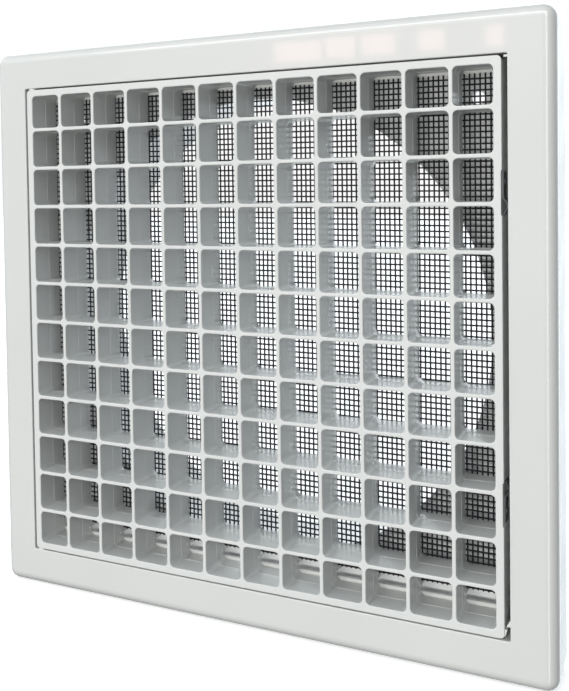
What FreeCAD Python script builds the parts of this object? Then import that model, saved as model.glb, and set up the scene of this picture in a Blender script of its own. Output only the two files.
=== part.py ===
"""Square ceiling air diffuser with a hinged egg-crate core, a mesh filter and a round duct collar.

Millimetres. The face looks along -Y, +Z is up and +X is to the right of someone who looks at the
face. The origin is the centre of the four fixing holes, on the rear face of the back plate.
"""
import FreeCAD, Part
import math
import os

Vector = FreeCAD.Vector

# ---- driving dimensions -------------------------------------------------------------------------
FACE_WIDTH = 300.0           # overall outline of the bezel
FACE_HEIGHT = 298.0
OPENING_WIDTH = 259.6        # opening that the core sits in, wider than tall for the spring clips
OPENING_HEIGHT = 257.4
BODY_DEPTH = 30.0            # from the face to the ceiling plane
DUCT_OUTER_R = 123.6         # collar for a 250 mm flexible duct
FIXING_PITCH = 225.0         # square of the four fixing holes
FIXING_HOLE_R = 3.0

CELLS = 12                   # cells along each side of the core
CELL_PITCH = 21.2
CORE_SIZE = 256.0
CORE_DEPTH = 21.5
GAP_LEFT = 1.15              # the core hangs close to its hinge side and low in the opening
GAP_BOTTOM = 0.65

# ---- depths along Y -----------------------------------------------------------------------------
FACE_Y = -BODY_DEPTH
BEZEL_THICK = 2.5
SKIRT_Y = FACE_Y + 7.5       # rear edge of the bezel's skirt, where the seam runs
SEAM = 0.5                   # shadow gap between the bezel and the box
WELL_Y = FACE_Y + 12.0       # rear edge of the wall around the opening
PLATE_THICK = 2.5
PLATE_Y = -PLATE_THICK       # inner face of the back plate
CORE_REAR_Y = FACE_Y + CORE_DEPTH
PARTING_Y = FACE_Y + 11.8    # step inside every cell, where the two mould halves met
MESH_THICK = 1.0
FILTER_FRAME_THICK = 2.0
FRAME_REAR_Y = CORE_REAR_Y + FILTER_FRAME_THICK
CLIP_THICK = 1.2
CLIP_GAP = 0.1
PIN_HEAD = 0.7

# ---- bezel and box ------------------------------------------------------------------------------
EDGE_R = 5.5                 # rounded outer edge of the bezel
CORNER_R = 6.0
SKIRT_THICK = 2.2
WELL_THICK = 2.0
LIP_R = 0.5                  # rounding of the opening's front edge
BOX_WALL = 3.0
TONGUE_THICK = 1.4           # rim of the box that nests inside the bezel's skirt
TONGUE_LENGTH = 3.0
TONGUE_GAP = 0.2
SCREW_LINE = 138.5           # the bezel screws stand this far from the centre lines
SCREW_OFFSET = 70.0
BOSS_R = 4.0
PILOT_R = 1.5
PILOT_DEPTH = 16.0
SCREW_HEAD_R = 3.6
RIB_FRONT = FACE_Y + 0.8     # guide ribs and the core's lug share one depth and length
RIB_LENGTH = 9.0
RIB_TOP = -118.5             # lower guide rib on the free side's wall
RIB_BOTTOM = -122.5

# ---- collar -------------------------------------------------------------------------------------
COLLAR_INNER_R = 121.0
COLLAR_END = 50.0
SPIGOT_R = 123.0             # the collar's slimmer root, which plugs into the back plate's socket
SHOULDER_Y = 11.0
PORT_R = 118.0               # hole in the back plate
SOCKET_GAP = 0.4
SOCKET_THICK = 3.0
SOCKET_HEIGHT = 10.0
GASKET_THICK = 1.0
COLLAR_SCREW_R = 1.1
CEILING_SEAL_THICK = 3.0
SEAL_OUTER_INSET = 4.0       # the foam strip's edges, in from the outline of the bezel
SEAL_INNER_INSET = 17.0

# ---- core ---------------------------------------------------------------------------------------
BAR = 1.9                    # front width of the bars between cells
BORDER = 3.6                 # front width of the core's outer border
CELL_CORNER_R = 2.2
BAR_ROUND = 0.5              # rounding along the front edges of the bars
PARTING_STEP = 0.1
REAR_WIDENING = 0.2          # how much wider each cell side stands at the rear than at the front
CORE_CORNER_R = 2.2
CORE_DRAFT = 0.3             # how far the outer sides lean in, front to rear
CORE_EDGE_R = 0.45           # rounding of the core's front outline
LUG_TOP = -123.8             # wedge on the core's free side, just below the lower guide rib
LUG_BOTTOM = -127.0
LUG_REACH = 1.1
CORE_X = -OPENING_WIDTH / 2 + GAP_LEFT + CORE_SIZE / 2
CORE_Z = -OPENING_HEIGHT / 2 + GAP_BOTTOM + CORE_SIZE / 2
CORE_LEFT = CORE_X - CORE_SIZE / 2
CORE_RIGHT = CORE_X + CORE_SIZE / 2
CORE_TOP = CORE_Z + CORE_SIZE / 2
CORE_BOTTOM = CORE_Z - CORE_SIZE / 2
PEG_R = 1.3
PEG_LENGTH = 4.0
PEG_Z = -119.2               # row of pegs that the lower edge of the mesh rests on
GATE_MARK_R = 0.4            # small pit left by the mould's gate, under the core's top edge
GATE_MARK_INSET = 2.6

# ---- hinge --------------------------------------------------------------------------------------
HINGE_X = CORE_LEFT + 2.6
HINGE_Y = FACE_Y + 2.1
HINGE_PIN_R = 1.0
RUNNING_GAP = 0.05
HINGE_HOLE_DEPTH = 3.3
HINGE_BOSS = 8.0
WASHER_R = 1.9
WASHER_PLAY = 0.1

# ---- filter and its turn clips ------------------------------------------------------------------
MESH_TOP = 123.3
MESH_BOTTOM = PEG_Z + PEG_R + 0.05
MESH_INSET = 2.4             # the mesh's side edges, in from the core's sides
CLIP_BARS = (3, 6, 9)        # the clips turn on the ends of these vertical bars
CLIP_PIN_R = 0.9
CLIP_BOSS_R = 2.4
CLIP_BOSS_DEPTH = 6.0
CLIP_WIDTH = 2.6
CLIP_REACH = 7.6
CLIP_INSET = 1.9             # pivots stand this far inside the core's top and bottom edges
NOTCH_R = 1.9                # notches that let the frame lift off over the opened clips
RAIL_HEIGHT = 5.2            # height of the frame's top and bottom rails, with the margin

# ---- spring clips on the free side --------------------------------------------------------------
SPRING_CLIP_Z = 68.4         # middle of each spring clip, above and below the centre
SPRING_CLIP_LENGTH = 18.6
SPRING_CLIP_THICK = 0.5
SPRING_CLIP_FRONT = FACE_Y + 4.4
SPRING_CLIP_BACK = FACE_Y + 11.6
CROWN_NEAR = 4.6             # ends of the raised crown, measured from the middle of the clip
CROWN_FAR = 6.4
FLANK = 2.3                  # run of the flank that rises from the flat foot to the crown
RELIEF = 0.5                 # shallow recess in the core's side for the spring clips
WALL_CLEARANCE = 0.45
RIVET_INSET = 4.3            # from the foot's end to the rivet
RIVET_R = 0.8
RIVET_GRIP = 2.0             # how deep the rivet stands in the core


# ---- helpers ------------------------------------------------------------------------------------
def rounded_wire(x, z, width, height, radius, y, grow=0.0):
    """Closed rectangle in the plane of the face, at depth y, with its corner centres kept as it grows."""
    a = width / 2 + grow
    b = height / 2 + grow
    r = radius + grow
    k = r * (1 - math.sqrt(0.5))
    edges = []
    corners = ((1, 1), (-1, 1), (-1, -1), (1, -1))
    for i, (sx, sz) in enumerate(corners):
        nx, nz = corners[(i + 1) % 4]
        on_top = sx == sz
        here = Vector(x + sx * (a - r), y, z + sz * b)
        side = Vector(x + sx * a, y, z + sz * (b - r))
        middle = Vector(x + sx * (a - k), y, z + sz * (b - k))
        start, end = (side, here) if on_top else (here, side)
        edges.append(Part.Arc(start, middle, end).toShape())
        if on_top:
            nxt = Vector(x + nx * (a - r), y, z + nz * b)
        else:
            nxt = Vector(x + nx * a, y, z + nz * (b - r))
        edges.append(Part.LineSegment(end, nxt).toShape())
    return Part.Wire(edges)


def slab(x, z, width, height, radius, y0, y1, grow=0.0):
    """Rounded rectangular plate between two depths."""
    face = Part.Face(rounded_wire(x, z, width, height, radius, y0, grow))
    return face.extrude(Vector(0, y1 - y0, 0))


def outline_slab(radius, inset, y0, y1):
    """Plate with the outline of the bezel, drawn in by an inset."""
    return slab(0, 0, FACE_WIDTH - 2 * inset, FACE_HEIGHT - 2 * inset, radius, y0, y1)


def block(x0, x1, y0, y1, z0, z1):
    return Part.makeBox(x1 - x0, y1 - y0, z1 - z0, Vector(x0, y0, z0))


def rod(radius, x, z, y0, y1):
    """Cylinder along the depth."""
    return Part.makeCylinder(radius, y1 - y0, Vector(x, y0, z), Vector(0, 1, 0))


def prism(corners):
    """Straight prism along the depth from (x, z) corners, as long as the guide ribs."""
    points = [Vector(x, RIB_FRONT, z) for x, z in corners]
    return Part.Face(Part.makePolygon(points + points[:1])).extrude(Vector(0, RIB_LENGTH, 0))


def upright(radius, x, y, z0, z1):
    """Cylinder along Z."""
    return Part.makeCylinder(radius, z1 - z0, Vector(x, y, z0), Vector(0, 0, 1))


def tube(outer, inner, y0, y1):
    return rod(outer, 0, 0, y0, y1).cut(rod(inner, 0, 0, y0 - 1, y1 + 1))


def edges_at(shape, y, inside=None, outside=None):
    """Edges that lie at one depth, within or beyond a square half size."""
    found = []
    for edge in shape.Edges:
        box = edge.BoundBox
        reach = max(abs(box.XMin), abs(box.XMax), abs(box.ZMin), abs(box.ZMax))
        if abs(box.YMin - y) > 1e-6 or abs(box.YMax - y) > 1e-6:
            continue
        if inside is not None and reach > inside:
            continue
        if outside is not None and reach < outside:
            continue
        found.append(edge)
    return found


def fused(first, others):
    return first.fuse(list(others)).removeSplitter()


def screw_places():
    """Eight places behind the bezel's border, two on each side."""
    places = []
    for s in (-1, 1):
        for t in (-1, 1):
            places.append((s * SCREW_LINE, t * SCREW_OFFSET))
            places.append((t * SCREW_OFFSET, s * SCREW_LINE))
    return places


def bar_line(i, middle):
    """Position of the i-th bar between cells, counted from the left or from the bottom."""
    return middle + (i - CELLS / 2) * CELL_PITCH


def cell_span(i, middle):
    """Front edges of the i-th cell of a row or column that is centred on the core's middle."""
    a = middle - CORE_SIZE / 2 + BORDER if i == 0 else bar_line(i, middle) + BAR / 2
    b = middle + CORE_SIZE / 2 - BORDER if i == CELLS - 1 else bar_line(i + 1, middle) - BAR / 2
    return a, b


# ---- fixed pieces -------------------------------------------------------------------------------
def face_frame():
    outer = outline_slab(CORNER_R, 0, FACE_Y, SKIRT_Y)
    outer = outer.makeFillet(EDGE_R, edges_at(outer, FACE_Y))
    cavity = outline_slab(CORNER_R - SKIRT_THICK + 0.2, SKIRT_THICK, FACE_Y + BEZEL_THICK, SKIRT_Y + 1)
    cavity = cavity.makeFillet(EDGE_R - BEZEL_THICK, edges_at(cavity, FACE_Y + BEZEL_THICK))
    well = slab(0, 0, OPENING_WIDTH, OPENING_HEIGHT, LIP_R + 0.2, FACE_Y + 1, WELL_Y, WELL_THICK)
    bosses = [rod(BOSS_R, x, z, FACE_Y + 1, PLATE_Y) for x, z in screw_places()]
    hinge_bosses = [
        block(
            HINGE_X - HINGE_BOSS / 2, HINGE_X + HINGE_BOSS / 2,
            FACE_Y + 1, HINGE_Y + 4,
            min(s * OPENING_HEIGHT / 2, s * (OPENING_HEIGHT / 2 + HINGE_BOSS)),
            max(s * OPENING_HEIGHT / 2, s * (OPENING_HEIGHT / 2 + HINGE_BOSS)),
        )
        for s in (-1, 1)
    ]
    body = fused(outer.cut(cavity), [well] + bosses + hinge_bosses)
    opening = slab(0, 0, OPENING_WIDTH, OPENING_HEIGHT, LIP_R + 0.2, FACE_Y - 1, 0)
    body = body.cut(opening)
    body = body.makeFillet(LIP_R, edges_at(body, FACE_Y, inside=OPENING_WIDTH / 2 + 0.01))
    pilots = [rod(PILOT_R, x, z, PLATE_Y - PILOT_DEPTH, PLATE_Y + 1) for x, z in screw_places()]
    reach = OPENING_HEIGHT / 2 + HINGE_BOSS + 1
    pin_hole = upright(HINGE_PIN_R, HINGE_X, HINGE_Y, -reach, reach)
    body = body.cut(pilots + [pin_hole])
    return fused(body, guide_ribs())


def guide_ribs():
    """Two small ribs on the free side's wall that centre the core as it shuts."""
    wall = OPENING_WIDTH / 2 + 0.5
    tip = CORE_RIGHT + 0.85
    upper = block(tip, wall, RIB_FRONT, WELL_Y, CORE_TOP - 0.9, CORE_TOP)
    lower = prism([(wall, RIB_TOP), (wall, RIB_BOTTOM), (tip, RIB_BOTTOM), (tip, RIB_BOTTOM + 0.4)])
    return [upper, lower]


def rear_box():
    front_y = SKIRT_Y + SEAM
    shell = outline_slab(CORNER_R, 0, front_y, 0)
    shell = shell.cut(outline_slab(CORNER_R - BOX_WALL, BOX_WALL, front_y - 1, PLATE_Y))
    inset = SKIRT_THICK + TONGUE_GAP
    tongue = outline_slab(CORNER_R - SKIRT_THICK, inset, SKIRT_Y - TONGUE_LENGTH, front_y + 2)
    tongue_room = outline_slab(
        CORNER_R - SKIRT_THICK - TONGUE_THICK, inset + TONGUE_THICK, SKIRT_Y - TONGUE_LENGTH - 1, 0
    )
    tongue = tongue.cut(tongue_room)
    socket = tube(SPIGOT_R + SOCKET_GAP + SOCKET_THICK, SPIGOT_R + SOCKET_GAP, -1, SOCKET_HEIGHT)
    body = fused(shell, [tongue, socket])
    cuts = [rod(PORT_R, 0, 0, PLATE_Y - 1, 1)]
    for sx in (-1, 1):
        for sz in (-1, 1):
            x = sx * FIXING_PITCH / 2
            z = sz * FIXING_PITCH / 2
            cuts.append(rod(FIXING_HOLE_R, x, z, PLATE_Y - 1, 1))
    cuts += [frame_screw_seat(x, z) for x, z in screw_places()]
    cuts += [radial_rod(COLLAR_SCREW_R, angle, PORT_R + 4, 140) for angle in collar_screw_angles()]
    return body.cut(cuts)


def frame_screw_seat(x, z):
    """Shank hole and countersink in the back plate."""
    cone = Part.makeCone(
        PILOT_R, SCREW_HEAD_R, PLATE_THICK - 0.4, Vector(x, PLATE_Y + 0.4, z), Vector(0, 1, 0)
    )
    return rod(PILOT_R, x, z, PLATE_Y - 1, 1).fuse(cone)


def frame_screws():
    """Countersunk self-tapping screws, flush with the back plate, one solid each."""
    screws = []
    for x, z in screw_places():
        shank = rod(PILOT_R, x, z, PLATE_Y - PILOT_DEPTH + 1, 0)
        head = Part.makeCone(
            PILOT_R, SCREW_HEAD_R, PLATE_THICK - 0.4, Vector(x, PLATE_Y + 0.4, z), Vector(0, 1, 0)
        )
        screw = fused(shank, [head])
        screws.append(screw.cut(cross_recess(x, z)))
    return Part.makeCompound(screws)


def cross_recess(x, z, length=3.6, width=0.9, depth=1.3):
    across = block(x - length / 2, x + length / 2, -depth, 1, z - width / 2, z + width / 2)
    along = block(x - width / 2, x + width / 2, -depth, 1, z - length / 2, z + length / 2)
    return across.fuse(along)


def collar_screw_angles():
    return [45 + 90 * i for i in range(4)]


def radial_rod(radius, angle, start, end):
    """Cylinder that points out from the duct's axis, level with the middle of the socket."""
    along = Vector(math.cos(math.radians(angle)), 0, math.sin(math.radians(angle)))
    level = Vector(0, SOCKET_HEIGHT * 0.6, 0)
    return Part.makeCylinder(radius, end - start, along * start + level, along)


def collar_screws():
    """Pan-head screws through the socket into the collar, one solid each."""
    seat = SPIGOT_R + SOCKET_GAP + SOCKET_THICK
    screws = []
    for angle in collar_screw_angles():
        shank = radial_rod(COLLAR_SCREW_R, angle, COLLAR_INNER_R - 0.6, seat + 0.5)
        head = radial_rod(2.6, angle, seat + 0.3, seat + 2.0)
        head = head.makeFillet(0.8, [e for e in head.Edges if is_outer_rim(e, seat + 1.9)])
        slot = radial_rod(0.9, angle, seat + 1.1, seat + 3)
        screws.append(fused(shank, [head]).cut(slot))
    return Part.makeCompound(screws)


def is_outer_rim(edge, reach):
    """True for a round edge whose centre lies beyond a given distance from the duct's axis."""
    curve = edge.Curve
    return isinstance(curve, Part.Circle) and math.hypot(curve.Center.x, curve.Center.z) > reach


def duct_collar():
    body = tube(SPIGOT_R, COLLAR_INNER_R, GASKET_THICK, SHOULDER_Y + 1)
    body = fused(body, [tube(DUCT_OUTER_R, COLLAR_INNER_R, SHOULDER_Y, COLLAR_END)])
    rims = [e for e in body.Edges if isinstance(e.Curve, Part.Circle)]
    rear_outer = [
        e for e in rims if e.Curve.Center.y > COLLAR_END - 1 and e.Curve.Radius > COLLAR_INNER_R + 1
    ]
    body = body.makeChamfer(0.9, rear_outer)
    grooves = [
        tube(DUCT_OUTER_R + 1, DUCT_OUTER_R - 0.7, y, y + 1.6) for y in (COLLAR_END - 9, COLLAR_END - 5.5)
    ]
    holes = [radial_rod(COLLAR_SCREW_R, angle, PORT_R, 140) for angle in collar_screw_angles()]
    return body.cut(grooves + holes)


def collar_gasket():
    return tube(SPIGOT_R, PORT_R + 0.8, 0, GASKET_THICK)


def ceiling_seal():
    """Foam strip around the rear of the box."""
    strip = outline_slab(4.0, SEAL_OUTER_INSET, 0, CEILING_SEAL_THICK)
    return strip.cut(outline_slab(2.0, SEAL_INNER_INSET, -1, CEILING_SEAL_THICK + 1))


def hinge_pins():
    """Upper and lower dowel, pressed into the bezel's hinge bosses and standing out into the core."""
    pins = []
    for s in (-1, 1):
        core_edge = CORE_TOP if s > 0 else CORE_BOTTOM
        tip = core_edge - s * (HINGE_HOLE_DEPTH - 0.3)
        root = s * (OPENING_HEIGHT / 2 + HINGE_BOSS - 0.5)
        dowel = upright(HINGE_PIN_R, HINGE_X, HINGE_Y, min(tip, root), max(tip, root))
        pins.append(dowel.makeChamfer(0.25, [e for e in dowel.Edges if isinstance(e.Curve, Part.Circle)]))
    return Part.makeCompound(pins)


def hinge_washers():
    """Nylon washers that take up the gap between the core and the bezel's hinge bosses."""
    washers = []
    for s, core_edge in ((1, CORE_TOP), (-1, CORE_BOTTOM)):
        wall = s * OPENING_HEIGHT / 2
        near = core_edge + s * WASHER_PLAY
        ring = upright(WASHER_R, HINGE_X, HINGE_Y, min(wall, near), max(wall, near))
        washers.append(ring.cut(upright(HINGE_PIN_R, HINGE_X, HINGE_Y, -200, 200)))
    return Part.makeCompound(washers)


def stop_pads():
    """Rubber buffers on the back plate, behind the free side's corners of the filter frame."""
    pads = []
    for z in (CORE_TOP - 2.6, CORE_BOTTOM + 2.6):
        pad = rod(2.4, CORE_RIGHT - 2.6, z, FRAME_REAR_Y + 0.3, PLATE_Y)
        front = [e for e in pad.Edges if abs(e.BoundBox.YMax - FRAME_REAR_Y - 0.3) < 1e-6]
        pads.append(pad.makeFillet(0.8, front))
    return Part.makeCompound(pads)


# ---- pieces that swing with the core ------------------------------------------------------------
def core_block():
    front = rounded_wire(CORE_X, CORE_Z, CORE_SIZE, CORE_SIZE, CORE_CORNER_R, FACE_Y)
    rear = rounded_wire(CORE_X, CORE_Z, CORE_SIZE, CORE_SIZE, CORE_CORNER_R, CORE_REAR_Y, -CORE_DRAFT)
    body = Part.makeLoft([front, rear], True, True)
    return body.makeFillet(CORE_EDGE_R, edges_at(body, FACE_Y))


def cell_cutter(x0, x1, z0, z1):
    """Air passage of one cell: rounded mouth, slight draft, a step at the parting line."""
    x = (x0 + x1) / 2
    z = (z0 + z1) / 2
    width = x1 - x0
    height = z1 - z0

    def ring(y, grow):
        return rounded_wire(x, z, width, height, CELL_CORNER_R, y, grow)

    mouth = [ring(FACE_Y - 0.5, BAR_ROUND)]
    for degrees in (0, 30, 60, 90):
        t = math.radians(degrees)
        mouth.append(ring(FACE_Y + BAR_ROUND * (1 - math.cos(t)), BAR_ROUND * (1 - math.sin(t))))
    front = Part.makeLoft(mouth + [ring(PARTING_Y, -PARTING_STEP / 2)], True, True)
    rear = Part.makeLoft(
        [ring(PARTING_Y - 0.01, -1.5 * PARTING_STEP), ring(CORE_REAR_Y + 0.01, REAR_WIDENING)], True, True
    )
    return [front, rear]


def clip_pivots():
    """Name, pivot place and side (+1 top, -1 bottom) of the six turn clips."""
    names = ("left", "middle", "right")
    pivots = []
    for side, word, z in (
        (1, "top", CORE_TOP - CLIP_INSET),
        (-1, "bottom", CORE_BOTTOM + CLIP_INSET),
    ):
        for name, i in zip(names, CLIP_BARS):
            pivots.append(("filter_clip_" + word + "_" + name, bar_line(i, CORE_X), z, side))
    return pivots


def core_grid():
    body = core_block()
    cutters = []
    for column in range(CELLS):
        for row in range(CELLS):
            x0, x1 = cell_span(column, CORE_X)
            z0, z1 = cell_span(row, CORE_Z)
            cutters += cell_cutter(x0, x1, z0, z1)
    body = body.cut(cutters)
    pegs = [
        rod(PEG_R, bar_line(i, CORE_X), PEG_Z, CORE_REAR_Y - 3, CORE_REAR_Y + PEG_LENGTH)
        for i in range(1, CELLS)
    ]
    bosses = []
    for _, x, z, side in clip_pivots():
        boss = rod(CLIP_BOSS_R, x, z, CORE_REAR_Y - CLIP_BOSS_DEPTH, CORE_REAR_Y)
        edge = CORE_TOP if side > 0 else CORE_BOTTOM
        trim = edge - side * (CORE_DRAFT + 0.05)
        inward = trim - side * 3 * CLIP_BOSS_R
        keep = block(
            x - CLIP_BOSS_R - 1, x + CLIP_BOSS_R + 1,
            CORE_REAR_Y - CLIP_BOSS_DEPTH - 1, CORE_REAR_Y + 1,
            min(trim, inward), max(trim, inward),
        )
        bosses.append(boss.common(keep))
    root = CORE_RIGHT - 3 * CORE_DRAFT
    tip = CORE_RIGHT + LUG_REACH
    lug = prism([(root, LUG_TOP), (tip, LUG_TOP), (CORE_RIGHT + 0.1, LUG_BOTTOM), (root, LUG_BOTTOM)])
    body = fused(body, pegs + bosses + [lug])
    cuts = [
        rod(CLIP_PIN_R, x, z, CORE_REAR_Y - 4, CORE_REAR_Y + 1) for _, x, z, _ in clip_pivots()
    ]
    for s, edge in ((1, CORE_TOP), (-1, CORE_BOTTOM)):
        deep = edge - s * HINGE_HOLE_DEPTH
        far = edge + s
        cuts.append(upright(HINGE_PIN_R + RUNNING_GAP, HINGE_X, HINGE_Y, min(deep, far), max(deep, far)))
        middle = CORE_Z + s * SPRING_CLIP_Z
        reach = SPRING_CLIP_LENGTH / 2 + 0.5
        cuts.append(block(
            CORE_RIGHT - RELIEF, CORE_RIGHT + 1, FACE_Y - 1, CORE_REAR_Y + 1, middle - reach, middle + reach
        ))
        cuts.append(spring_rivet_hole(middle + s * (SPRING_CLIP_LENGTH / 2 - RIVET_INSET)))
    gate_z = CORE_TOP - GATE_MARK_INSET
    cuts.append(rod(GATE_MARK_R, bar_line(2, CORE_X), gate_z, FACE_Y - 1, FACE_Y + GATE_MARK_R))
    return body.cut(cuts)


def across_rod(radius, x0, x1, z):
    """Cylinder along X, level with the middle of the spring clips' width."""
    middle_y = (SPRING_CLIP_FRONT + SPRING_CLIP_BACK) / 2
    return Part.makeCylinder(radius, x1 - x0, Vector(x0, middle_y, z), Vector(1, 0, 0))


def spring_rivet_hole(z):
    return across_rod(RIVET_R, CORE_RIGHT - RELIEF - RIVET_GRIP, CORE_RIGHT + 1, z)


def filter_mesh():
    """Woven screen, as a plain sheet; its edges lie under the filter frame's side rails."""
    return block(
        CORE_LEFT + MESH_INSET, CORE_RIGHT - MESH_INSET,
        CORE_REAR_Y, CORE_REAR_Y + MESH_THICK, MESH_BOTTOM, MESH_TOP,
    )


def filter_frame():
    """Thin frame behind the core's border, notched around the turn clips' bosses."""
    left = CORE_LEFT + 0.5
    right = CORE_RIGHT - 0.5
    top = CORE_TOP - 0.5
    bottom = CORE_BOTTOM + 0.5
    plate = slab(
        (left + right) / 2, (top + bottom) / 2, right - left, top - bottom, 1.5, CORE_REAR_Y, FRAME_REAR_Y
    )
    low = CORE_BOTTOM + RAIL_HEIGHT
    window = block(
        CORE_LEFT + BORDER, CORE_RIGHT - BORDER, CORE_REAR_Y - 1, 0, low, CORE_TOP - RAIL_HEIGHT
    )
    rebate = block(
        CORE_LEFT + MESH_INSET - 0.1, CORE_RIGHT - MESH_INSET + 0.1,
        CORE_REAR_Y - 1, CORE_REAR_Y + MESH_THICK, low, MESH_TOP + 0.2,
    )
    cuts = [window, rebate]
    for _, x, z, side in clip_pivots():
        notch = rod(NOTCH_R, x, z, CORE_REAR_Y - 1, 0)
        reach = z + side * 4
        slot = block(x - NOTCH_R, x + NOTCH_R, CORE_REAR_Y - 1, 0, min(z, reach), max(z, reach))
        cuts.append(notch.fuse(slot))
    return plate.cut(cuts)


def turn_clip(x, z):
    """Flat tongue that turns on its pin and lies along the frame's rail when shut."""
    y0 = FRAME_REAR_Y + CLIP_GAP
    y1 = y0 + CLIP_THICK
    half = CLIP_WIDTH / 2
    root = rod(half, x, z, y0, y1)
    arm = block(x, x + CLIP_REACH - half, y0, y1, z - half, z + half)
    tip = rod(half, x + CLIP_REACH - half, z, y0, y1)
    tip_x = x + CLIP_REACH - half
    grip = block(tip_x - 0.5, tip_x + 0.5, y1 - 0.1, y1 + 0.6, z - half + 0.3, z + half - 0.3)
    body = fused(root, [arm, tip, grip])
    return body.cut(rod(CLIP_PIN_R + RUNNING_GAP, x, z, y0 - 1, y1 + 1))


def clip_pins():
    """Headed pins pressed into the core, one solid for each turn clip."""
    pins = []
    head_y = FRAME_REAR_Y + CLIP_GAP + CLIP_THICK + CLIP_GAP
    for _, x, z, _ in clip_pivots():
        shank = rod(CLIP_PIN_R, x, z, CORE_REAR_Y - 4, head_y + 0.2)
        head = rod(CLIP_PIN_R + 0.8, x, z, head_y, head_y + PIN_HEAD)
        rim = [e for e in head.Edges if abs(e.BoundBox.YMin - head_y - PIN_HEAD) < 1e-6]
        pins.append(fused(shank, [head.makeFillet(0.3, rim)]))
    return Part.makeCompound(pins)


def spring_clip(side):
    """Strip of spring steel on the core's free side: flat foot, then a crown that bears on the wall."""
    seat = CORE_RIGHT - RELIEF
    crown = OPENING_WIDTH / 2 - WALL_CLEARANCE
    middle = CORE_Z + side * SPRING_CLIP_Z
    reach = SPRING_CLIP_LENGTH / 2
    y = SPRING_CLIP_FRONT

    def at(x, along):
        return Vector(x, y, middle + side * along)

    def face_line(offset):
        """Foot, rising flank, crown and falling flank of one side of the strip."""
        top = crown - SPRING_CLIP_THICK + offset
        shoulder = top - 0.3
        toe = at(seat + 0.25 + offset, -reach)
        heel = at(seat + offset, FLANK - CROWN_NEAR)
        near = at(shoulder, -CROWN_NEAR)
        far = at(shoulder, -CROWN_FAR)
        return [
            Part.LineSegment(at(seat + offset, reach), heel).toShape(),
            Part.LineSegment(heel, near).toShape(),
            Part.Arc(near, at(top, -(CROWN_NEAR + CROWN_FAR) / 2), far).toShape(),
            Part.LineSegment(far, toe).toShape(),
        ]

    inner = face_line(0.0)
    outer = face_line(SPRING_CLIP_THICK)
    caps = [
        Part.LineSegment(inner[0].Vertexes[0].Point, outer[0].Vertexes[0].Point).toShape(),
        Part.LineSegment(inner[-1].Vertexes[-1].Point, outer[-1].Vertexes[-1].Point).toShape(),
    ]
    outline = Part.Wire(Part.__sortEdges__(inner + outer + caps))
    strip = Part.Face(outline).extrude(Vector(0, SPRING_CLIP_BACK - SPRING_CLIP_FRONT, 0))
    return strip.cut(spring_rivet_hole(middle + side * (reach - RIVET_INSET)))


def spring_clips():
    return Part.makeCompound([spring_clip(1), spring_clip(-1)])


def spring_rivets():
    """Rivets that hold the feet of the spring clips."""
    rivets = []
    seat = CORE_RIGHT - RELIEF + SPRING_CLIP_THICK
    head_height = 0.7
    for side in (1, -1):
        z = CORE_Z + side * (SPRING_CLIP_Z + SPRING_CLIP_LENGTH / 2 - RIVET_INSET)
        shank = across_rod(RIVET_R, CORE_RIGHT - RELIEF - RIVET_GRIP, seat, z)
        head = across_rod(1.9 * RIVET_R, seat, seat + head_height, z)
        rim = [e for e in head.Edges if e.BoundBox.XMin > seat + head_height / 2]
        rivets.append(fused(shank, [head.makeFillet(0.4, rim)]))
    return Part.makeCompound(rivets)


# ---- write one file per piece -------------------------------------------------------------------
def main():
    os.makedirs("parts", exist_ok=True)
    pieces = {
        "face_frame": face_frame(),
        "rear_box": rear_box(),
        "frame_screws": frame_screws(),
        "duct_collar": duct_collar(),
        "collar_gasket": collar_gasket(),
        "collar_screws": collar_screws(),
        "ceiling_seal": ceiling_seal(),
        "hinge_pins": hinge_pins(),
        "hinge_washers": hinge_washers(),
        "stop_pads": stop_pads(),
        "core_grid": core_grid(),
        "filter_mesh": filter_mesh(),
        "filter_frame": filter_frame(),
        "clip_pins": clip_pins(),
        "spring_clips": spring_clips(),
        "spring_rivets": spring_rivets(),
    }
    for name, x, z, _ in clip_pivots():
        pieces[name] = turn_clip(x, z)
    for name, shape in pieces.items():
        assert shape.isValid(), name
        shape.exportStep("parts/" + name + ".step")
        print(name, len(shape.Solids), "solids", round(shape.Volume), "mm3")


main()
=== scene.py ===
"""Looks of the square ceiling air diffuser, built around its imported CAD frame. Metres."""
import math
import random

import bpy
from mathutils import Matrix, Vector


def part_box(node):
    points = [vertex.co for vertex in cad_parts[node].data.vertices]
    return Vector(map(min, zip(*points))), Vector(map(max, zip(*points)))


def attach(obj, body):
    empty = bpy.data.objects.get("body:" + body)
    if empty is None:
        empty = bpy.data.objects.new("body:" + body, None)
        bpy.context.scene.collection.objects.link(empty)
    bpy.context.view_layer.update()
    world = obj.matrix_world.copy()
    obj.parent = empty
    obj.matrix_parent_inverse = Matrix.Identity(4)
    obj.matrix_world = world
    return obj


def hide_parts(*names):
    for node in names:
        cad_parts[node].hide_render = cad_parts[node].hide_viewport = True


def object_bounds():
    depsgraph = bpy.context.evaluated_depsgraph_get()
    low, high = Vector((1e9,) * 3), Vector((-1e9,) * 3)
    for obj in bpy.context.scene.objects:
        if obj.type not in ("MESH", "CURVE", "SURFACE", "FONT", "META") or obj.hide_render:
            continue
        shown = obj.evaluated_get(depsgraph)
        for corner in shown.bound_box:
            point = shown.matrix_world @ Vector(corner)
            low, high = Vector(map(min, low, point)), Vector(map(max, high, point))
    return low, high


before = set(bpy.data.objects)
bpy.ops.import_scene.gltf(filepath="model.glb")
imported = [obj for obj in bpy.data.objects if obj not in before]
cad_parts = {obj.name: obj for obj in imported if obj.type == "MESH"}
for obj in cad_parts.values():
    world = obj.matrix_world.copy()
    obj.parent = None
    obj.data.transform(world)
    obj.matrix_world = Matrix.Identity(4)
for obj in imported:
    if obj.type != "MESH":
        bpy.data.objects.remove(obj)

cad_low, cad_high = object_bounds()

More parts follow.
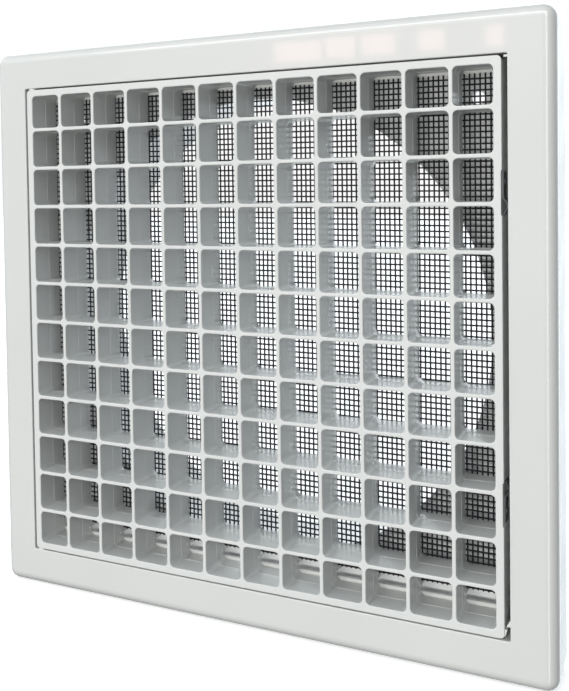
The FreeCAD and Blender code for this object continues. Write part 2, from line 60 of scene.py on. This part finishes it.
MM = 0.001
WIRE = 0.84 * MM                # mesh wire diameter
WIRE_SIDES = 6
WARP_PITCH = 2.4 * MM           # spacing of the upright wires
WEFT_PITCH = 2.72 * MM          # spacing of the level wires
WEFT_SLOPE = -0.0105            # the weave runs a little out of square with the cut edges
FIRST_WEFT = 0.6 * MM           # height of weft 0 over the bottom edge, at the middle of the mesh
EDGE_WEFT = 0.75 * MM           # height of the straight wire that closes the bottom edge
WARP_START = 0.7 * MM           # the upright wires begin and stop weaving this far from the edges
WARP_STOP = 0.5 * MM
WARP_DRIFT = 0.10 * MM          # how far the wires wander from their straight lines
WEFT_DRIFT = 0.12 * MM
SPARE_WEFTS = 2                 # extra wires at each end, because the slope brings some of them in
SHORTEST_WEFT = 4               # points; a wire that the edges leave shorter than this is dropped
WARP_SEED = 100
WEFT_SEED = 900
PHASES = 6.28                   # the drift's waves start anywhere in a turn

# brightness of the surroundings, by height from straight down (0) to straight up (1)
SKY = ((0.12, 0.05), (0.5, 0.40), (0.60, 0.58), (0.70, 0.95), (0.84, 0.85), (1.0, 0.15))

FLOOR_REACH = 6.0               # half the floor's width
FLOOR_DROP = 0.2 * MM           # the floor lies this far under the part

PANE_WATTS = 22                 # window panes, per square metre
PANE_Y = -1.43                  # they stand well in front of the face
PANE_TURN_X = 0.35              # and are turned towards the right and down
PANE_TURN_Z = 0.24

ABS_IOR = 1.53
COAT_ROUGHNESS = 0.04
GRAIN_DEPTH = 0.05 * MM
SCRATCH_DEPTH = 0.03 * MM
PORE_DEPTH = 0.2 * MM


# ---- camera -------------------------------------------------------------------------------------
def add_camera():
    """Stands to the right of the face and a little above its middle, nearly level."""
    data = bpy.data.cameras.new("camera")
    data.lens = 47.17
    data.sensor_width = 36.0
    data.shift_x = 0.0644
    data.shift_y = -0.186
    camera = bpy.data.objects.new("camera", data)
    camera.location = (0.19542, -0.43219, 0.07213)
    camera.rotation_euler = [math.radians(a) for a in (88.180, 0.872, 25.730)]
    bpy.context.scene.collection.objects.link(camera)
    bpy.context.scene.camera = camera


# ---- light and floor ----------------------------------------------------------------------------
def add_world():
    """White to the camera. Its light comes mostly from above and behind, little from the right."""
    world = bpy.data.worlds.new("studio")
    world.use_nodes = True
    nodes, links = world.node_tree.nodes, world.node_tree.links
    soft = nodes["Background"]
    place = nodes.new("ShaderNodeTexCoord")
    split = nodes.new("ShaderNodeSeparateXYZ")
    links.new(place.outputs["Generated"], split.inputs[0])
    height = range_between(nodes, links, split.outputs["Z"], low=0.0, high=1.0, start=-1.0, end=1.0)
    overhead = nodes.new("ShaderNodeValToRGB")
    stops = overhead.color_ramp.elements
    for spot, _ in SKY[1:-1]:
        stops.new(spot)
    for stop, (spot, level) in zip(stops, SKY):
        stop.position = spot
        stop.color = (level, level, level, 1)
    links.new(height, overhead.inputs["Fac"])
    rightward = range_between(nodes, links, split.outputs["X"], low=1.35, high=0.38, start=0.1, end=0.85)
    forward = range_between(nodes, links, split.outputs["Y"], low=1.0, high=0.85, start=0.0, end=0.4)
    behind = range_between(nodes, links, split.outputs["Y"], low=0.0, high=1.6, start=0.38, end=0.95)
    faded = nodes.new("ShaderNodeMath")
    faded.operation = "MULTIPLY"
    links.new(overhead.outputs["Color"], faded.inputs[0])
    links.new(forward, faded.inputs[1])
    around = nodes.new("ShaderNodeMath")
    around.operation = "MULTIPLY_ADD"
    links.new(faded.outputs[0], around.inputs[0])
    links.new(rightward, around.inputs[1])
    links.new(behind, around.inputs[2])
    links.new(around.outputs[0], soft.inputs["Strength"])
    soft.inputs["Color"].default_value = (0.90, 0.96, 1.0, 1)
    seen = nodes.new("ShaderNodeBackground")
    path = nodes.new("ShaderNodeLightPath")
    choice = nodes.new("ShaderNodeMixShader")
    seen.inputs["Color"].default_value = (1, 1, 1, 1)
    links.new(path.outputs["Is Camera Ray"], choice.inputs[0])
    links.new(soft.outputs[0], choice.inputs[1])
    links.new(seen.outputs[0], choice.inputs[2])
    links.new(choice.outputs[0], nodes["World Output"].inputs["Surface"])
    bpy.context.scene.world = world


def add_area(name, place, target, size, energy, colour, mirrored):
    """A lamp that acts only in reflections if it is mirrored, and only outside them if not."""
    data = bpy.data.lights.new(name, "AREA")
    data.shape = "RECTANGLE"
    data.size, data.size_y = size
    data.energy = energy
    data.color = colour
    lamp = bpy.data.objects.new(name, data)
    lamp.location = place
    lamp.rotation_euler = (Vector(target) - Vector(place)).to_track_quat("-Z", "Y").to_euler()
    lamp.visible_glossy = mirrored
    lamp.visible_diffuse = not mirrored
    bpy.context.scene.collection.objects.link(lamp)


def add_lights():
    warm = (1.0, 0.972, 0.925)
    white = (1, 1, 1)
    pink = (1, 0.60, 0.56)
    add_area("soft_key", (-0.35, -1.8, 0.75), (0, 0, 0), (1.2, 1.0), 10.0, warm, False)
    add_area("low_fill", (0.1, -1.7, -0.05), (0.05, 0, -0.1), (0.9, 0.24), 14.5, warm, False)
    add_area("top_strip", (-0.1, -1.4, 1.15), (0, 0, 0), (2.2, 0.30), 10.0, white, True)
    add_area("side_strip", (0.70, -1.2, 0.0), (0.1, 0, 0), (0.24, 1.8), 6.0, white, True)
    panes = (
        (-0.532, 0.361, 0.100, 0.042), (-0.436, 0.362, 0.060, 0.042), (-0.354, 0.362, 0.066, 0.042),
        (-0.245, 0.361, 0.052, 0.042), (-0.121, 0.360, 0.034, 0.040),
    )
    for x, z, width, height in panes:
        place, target = (x, PANE_Y, z), (x + PANE_TURN_X, 0, z - PANE_TURN_Z)
        watts = PANE_WATTS * width * height
        add_area("window_pane", place, target, (width, height), watts, pink, True)


def add_floor():
    mesh = bpy.data.meshes.new("floor")
    z = cad_low.z - FLOOR_DROP
    corners = [(x * FLOOR_REACH, y * FLOOR_REACH, z) for x, y in ((-1, -1), (1, -1), (1, 1), (-1, 1))]
    mesh.from_pydata(corners, [], [(0, 1, 2, 3)])
    floor = bpy.data.objects.new("floor", mesh)
    bpy.context.scene.collection.objects.link(floor)
    material, shader, nodes, links = new_material("pale_floor")
    shader.inputs["Roughness"].default_value = 0.9
    shader.inputs["Specular IOR Level"].default_value = 0.1
    shader.inputs["Base Color"].default_value = (0.97, 0.97, 0.97, 1)
    shader.inputs["Emission Color"].default_value = (1, 1, 1, 1)
    shader.inputs["Emission Strength"].default_value = 0.45
    floor.visible_diffuse = False
    floor.visible_glossy = False
    mesh.materials.append(material)


# ---- materials ----------------------------------------------------------------------------------
def new_material(name):
    material = bpy.data.materials.new(name)
    material.use_nodes = True
    nodes, links = material.node_tree.nodes, material.node_tree.links
    return material, nodes["Principled BSDF"], nodes, links


def object_noise(nodes, links, scale, detail=2.0, roughness=0.5, stretch=(1, 1, 1)):
    """Noise in the piece's own coordinates, so that it doesn't slide when the piece or camera moves."""
    place = nodes.new("ShaderNodeTexCoord")
    mapping = nodes.new("ShaderNodeMapping")
    mapping.inputs["Scale"].default_value = stretch
    noise = nodes.new("ShaderNodeTexNoise")
    noise.inputs["Scale"].default_value = scale
    noise.inputs["Detail"].default_value = detail
    noise.inputs["Roughness"].default_value = roughness
    links.new(place.outputs["Object"], mapping.inputs["Vector"])
    links.new(mapping.outputs["Vector"], noise.inputs["Vector"])
    return noise.outputs["Fac"]


def ramp_between(nodes, links, source, low, high, start=0.3, end=0.7):
    ramp = nodes.new("ShaderNodeValToRGB")
    ramp.color_ramp.elements[0].position = start
    ramp.color_ramp.elements[1].position = end
    ramp.color_ramp.elements[0].color = (*low, 1)
    ramp.color_ramp.elements[1].color = (*high, 1)
    links.new(source, ramp.inputs["Fac"])
    return ramp.outputs["Color"]


def range_between(nodes, links, source, low, high, start=0.3, end=0.7):
    spread = nodes.new("ShaderNodeMapRange")
    spread.inputs["From Min"].default_value = start
    spread.inputs["From Max"].default_value = end
    spread.inputs["To Min"].default_value = low
    spread.inputs["To Max"].default_value = high
    links.new(source, spread.inputs["Value"])
    return spread.outputs["Result"]


def add_bump(nodes, links, shader, source, strength, distance):
    bump = nodes.new("ShaderNodeBump")
    bump.inputs["Strength"].default_value = strength
    bump.inputs["Distance"].default_value = distance
    links.new(source, bump.inputs["Height"])
    links.new(bump.outputs["Normal"], shader.inputs["Normal"])


def moulded_plastic(name, low, high, gloss, coat, ripple):
    """Injection-moulded ABS: faint cloudy tone, uneven gloss and a fine ripple under the skin."""
    material, shader, nodes, links = new_material(name)
    cloud = object_noise(nodes, links, 14.0, 3.0)
    links.new(ramp_between(nodes, links, cloud, low, high), shader.inputs["Base Color"])
    patches = object_noise(nodes, links, 45.0, 3.0)
    links.new(range_between(nodes, links, patches, *gloss), shader.inputs["Roughness"])
    grain = object_noise(nodes, links, 900.0, 2.0)
    add_bump(nodes, links, shader, grain, ripple, GRAIN_DEPTH)
    shader.inputs["IOR"].default_value = ABS_IOR
    shader.inputs["Coat Weight"].default_value = coat
    shader.inputs["Coat Roughness"].default_value = COAT_ROUGHNESS
    return material


def filament():
    """Black coated wire with a dull sheen."""
    material, shader, nodes, links = new_material("black_filament")
    dust = object_noise(nodes, links, 1500.0, 2.0)
    tone = ramp_between(nodes, links, dust, (0.004, 0.004, 0.005), (0.012, 0.012, 0.015))
    links.new(tone, shader.inputs["Base Color"])
    links.new(range_between(nodes, links, dust, 0.35, 0.55), shader.inputs["Roughness"])
    return material


def plated_steel(name, low, high, roughness):
    material, shader, nodes, links = new_material(name)
    bloom = object_noise(nodes, links, 700.0, 3.0)
    links.new(ramp_between(nodes, links, bloom, low, high), shader.inputs["Base Color"])
    duller = roughness + 0.15
    links.new(range_between(nodes, links, bloom, roughness, duller), shader.inputs["Roughness"])
    shader.inputs["Metallic"].default_value = 1.0
    scratch = object_noise(nodes, links, 2500.0, 2.0, 0.5, (1, 6, 1))
    add_bump(nodes, links, shader, scratch, 0.15, SCRATCH_DEPTH)
    return material


def soft_material(name, low, high, cell, strength):
    """Foam or rubber with fine pores."""
    material, shader, nodes, links = new_material(name)
    place = nodes.new("ShaderNodeTexCoord")
    pores = nodes.new("ShaderNodeTexVoronoi")
    pores.inputs["Scale"].default_value = cell
    links.new(place.outputs["Object"], pores.inputs["Vector"])
    tone = ramp_between(nodes, links, pores.outputs["Distance"], low, high, 0.1, 0.8)
    links.new(tone, shader.inputs["Base Color"])
    shader.inputs["Roughness"].default_value = 0.9
    add_bump(nodes, links, shader, pores.outputs["Distance"], strength, PORE_DEPTH)
    return material


def nylon():
    material, shader, nodes, links = new_material("natural_nylon")
    haze = object_noise(nodes, links, 800.0, 2.0)
    tone = ramp_between(nodes, links, haze, (0.78, 0.77, 0.70), (0.86, 0.85, 0.80))
    links.new(tone, shader.inputs["Base Color"])
    links.new(range_between(nodes, links, haze, 0.35, 0.5), shader.inputs["Roughness"])
    return material


def dress_nodes():
    """Gives every CAD node its material, and returns the mesh wire's."""
    bezel = moulded_plastic(
        "bezel_plastic", (0.655, 0.66, 0.65), (0.675, 0.68, 0.67), gloss=(0.22, 0.27), coat=0.5, ripple=0.05
    )
    # The rear box is the same white ABS as the bezel and core but painted much lighter: painted light
    # standing in for the light that reaches the back plate and the box side.
    box = moulded_plastic(
        "box_plastic_painted_light", (0.83, 0.85, 0.86), (0.85, 0.87, 0.88), gloss=(0.28, 0.36), coat=0.2, ripple=0.08
    )
    core = moulded_plastic(
        "core_plastic", (0.665, 0.675, 0.665), (0.69, 0.70, 0.69), gloss=(0.3, 0.38), coat=0.2, ripple=0.12
    )
    steel = plated_steel("zinc_plate", (0.55, 0.56, 0.57), (0.70, 0.71, 0.72), 0.25)
    spring = plated_steel("spring_steel", (0.24, 0.243, 0.248), (0.31, 0.313, 0.318), 0.5)
    foam = soft_material("seal_foam", (0.05, 0.05, 0.055), (0.13, 0.13, 0.14), cell=900.0, strength=0.8)
    rubber = soft_material(
        "soft_rubber", (0.03, 0.03, 0.032), (0.05, 0.05, 0.052), cell=2500.0, strength=0.3
    )
    chosen = {
        "face_frame": bezel, "rear_box": box, "duct_collar": bezel,
        "core_grid": core, "filter_frame": core,
        "frame_screws": steel, "collar_screws": steel, "hinge_pins": steel, "clip_pins": steel,
        "spring_rivets": spring, "spring_clips": spring,
        "collar_gasket": rubber, "stop_pads": rubber, "ceiling_seal": foam,
        "hinge_washers": nylon(), "filter_mesh": filament(),
    }
    for name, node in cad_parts.items():
        material = core if name.startswith("filter_clip_") else chosen[name]
        node.data.materials.clear()
        node.data.materials.append(material)
    return chosen["filter_mesh"]


# ---- woven filter -------------------------------------------------------------------------------
def wire_rings(points, bend_axis):
    """Vertices and faces of a round wire that passes through the points."""
    verts = []
    faces = []
    for i, p in enumerate(points):
        ahead = points[min(i + 1, len(points) - 1)]
        behind = points[max(i - 1, 0)]
        along = (ahead - behind).normalized()
        across = along.cross(bend_axis).normalized()
        up = across.cross(along)
        for k in range(WIRE_SIDES):
            turn = 2 * math.pi * k / WIRE_SIDES
            verts.append(p + (across * math.cos(turn) + up * math.sin(turn)) * (WIRE / 2))
    for i in range(len(points) - 1):
        for k in range(WIRE_SIDES):
            a = i * WIRE_SIDES + k
            b = i * WIRE_SIDES + (k + 1) % WIRE_SIDES
            faces.append((a, b, b + WIRE_SIDES, a + WIRE_SIDES))
    last = (len(points) - 1) * WIRE_SIDES
    faces.append(tuple(range(WIRE_SIDES))[::-1])
    faces.append(tuple(last + k for k in range(WIRE_SIDES)))
    return verts, faces


def wander(seed, amount):
    """A slow, smooth drift along a wire, different for each wire."""
    rng = random.Random(seed)
    waves = [(rng.uniform(15, 60), rng.uniform(0, PHASES), rng.uniform(0.3, 1.0)) for _ in range(3)]

    def at(s):
        return amount * sum(w * math.sin(k * s + p) for k, p, w in waves) / 2

    return at


def woven_piece(name, wires, material):
    verts = []
    faces = []
    for points, bend_axis in wires:
        v, f = wire_rings(points, bend_axis)
        start = len(verts)
        verts += v
        faces += [tuple(start + i for i in face) for face in f]
    mesh = bpy.data.meshes.new(name)
    mesh.from_pydata(verts, [], faces)
    mesh.validate()
    mesh.shade_smooth()
    mesh.materials.append(material)
    piece = bpy.data.objects.new(name, mesh)
    bpy.context.scene.collection.objects.link(piece)
    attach(piece, "core")
    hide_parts("filter_mesh")


def add_woven_filter(material):
    """Plain weave: every wire goes in front of one neighbour and behind the next."""
    low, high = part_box("filter_mesh")
    margin = WIRE / 2
    middle_y = (low.y + high.y) / 2
    swing = (high.y - low.y) / 2 - margin
    warps = int((high.x - low.x - 2 * margin) / WARP_PITCH) + 1
    wefts = int((high.z - low.z) / WEFT_PITCH)
    weft_numbers = range(-SPARE_WEFTS, wefts + SPARE_WEFTS)
    warp_x = [low.x + margin + i * WARP_PITCH for i in range(warps)]
    middle_x = (low.x + high.x) / 2

    def weft_z(j, x):
        return low.z + FIRST_WEFT + j * WEFT_PITCH + WEFT_SLOPE * (x - middle_x)

    upright = []
    for i, x0 in enumerate(warp_x):
        drift = wander(WARP_SEED + i, WARP_DRIFT)
        points = [Vector((x0 + drift(low.z), middle_y, low.z))]
        for j in weft_numbers:
            z = weft_z(j, x0)
            if z < low.z + WARP_START or z > high.z - WARP_STOP:
                continue
            side = 1 if (i + j) % 2 else -1
            points.append(Vector((x0 + drift(z), middle_y + side * swing, z)))
        points.append(Vector((x0 + drift(high.z), middle_y, high.z)))
        upright.append((points, Vector((1, 0, 0))))

    level = []
    clear_of_edge = low.z + 2 * WIRE
    for j in weft_numbers:
        drift = wander(WEFT_SEED + j, WEFT_DRIFT)
        points = []
        for i, x in enumerate(warp_x):
            z = weft_z(j, x) + drift(x)
            if z < clear_of_edge or z > high.z - margin:
                continue
            side = -1 if (i + j) % 2 else 1
            points.append(Vector((x, middle_y + side * swing, z)))
        if len(points) >= SHORTEST_WEFT:
            level.append((points, Vector((0, 0, 1))))
    edge = []
    for i, x in enumerate(warp_x):
        side = 1 if i % 2 else -1
        edge.append(Vector((x, middle_y + side * swing, low.z + EDGE_WEFT)))
    level.append((edge, Vector((0, 0, 1))))
    woven_piece("mesh_warp", upright, material)
    woven_piece("mesh_weft", level, material)


# ---- the whole scene ----------------------------------------------------------------------------
add_camera()
add_world()
add_lights()
add_floor()
bpy.context.scene.view_settings.view_transform = "Standard"
wire_material = dress_nodes()
add_woven_filter(wire_material)
